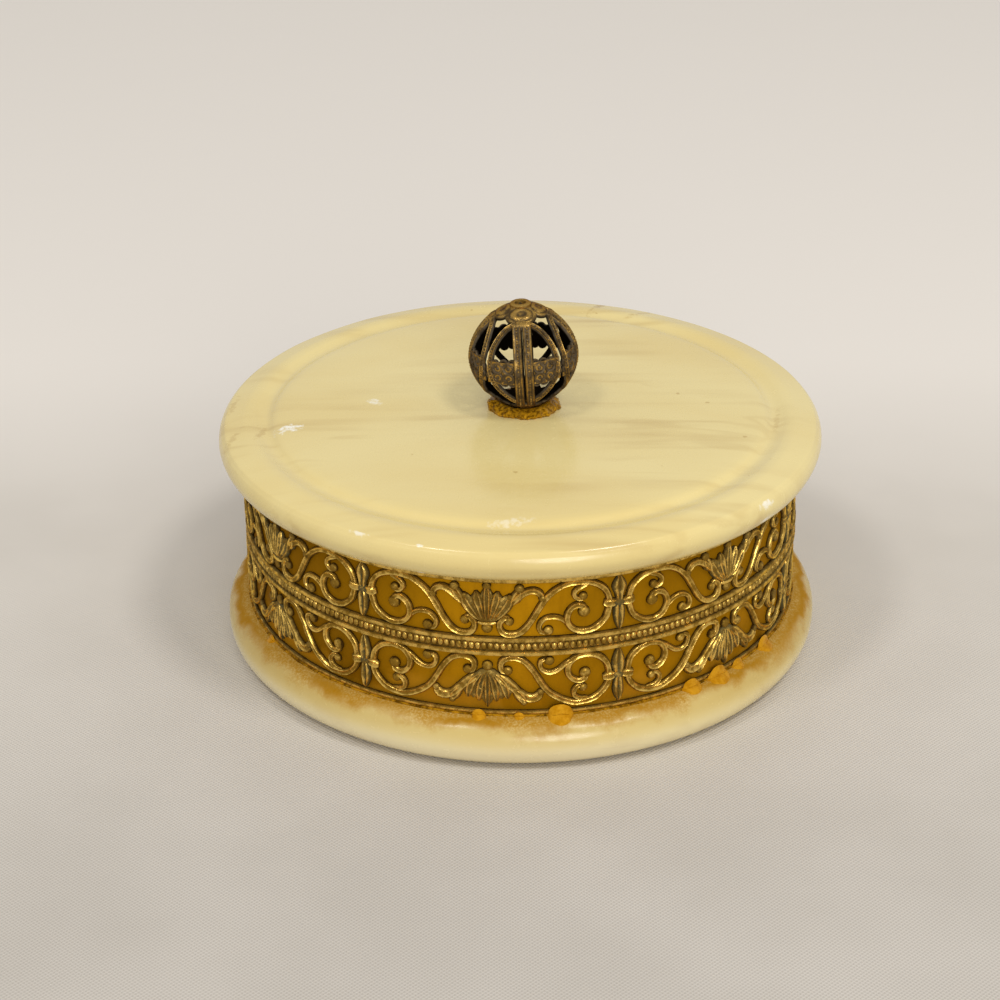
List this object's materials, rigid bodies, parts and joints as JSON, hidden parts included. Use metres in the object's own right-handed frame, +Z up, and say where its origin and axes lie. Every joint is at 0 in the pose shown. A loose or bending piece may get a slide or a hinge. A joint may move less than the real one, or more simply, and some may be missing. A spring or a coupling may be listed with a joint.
{
  "type": "alabaster trinket box",
  "caption": "Round alabaster keepsake box: turned stone base, gilt drum in a pierced scroll band, and a lift-off stone lid with an openwork ball knob.",
  "frame": {"origin": "centre of the underside that the box stands on", "axes": "+Z up along the axis of the round box, -Y to the side that the picture shows, +X to the right of that view"},
  "size_m": [0.13, 0.13, 0.0763],
  "materials": {
    "alabaster": "polished translucent cream stone",
    "gilt_sheet": "satin amber-gold lacquered sheet brass",
    "gilt_filigree": "stamped brass with worn gilding and dark recesses",
    "bronze_filigree": "dark patinated brass, gold on the raised edges",
    "amber_cement": "hardened amber resin cement"
  },
  "bodies": {
    "box": {"base_disc": "alabaster", "wall_sleeve": "gilt_sheet", "filigree_band": "gilt_filigree", "seat_cement_ring": "amber_cement", "seat_cement_drops": "amber_cement"},
    "lid": {"lid_disc": "alabaster", "knob_lower_shell": "bronze_filigree", "knob_upper_shell": "bronze_filigree", "knob_cement": "amber_cement"}
  },
  "joints": [
    {"name": "lid_lift", "type": "slide", "parent": "box", "child": "lid", "axis": [0, 0, 1], "range_m": [0, 0.08]}
  ]
}
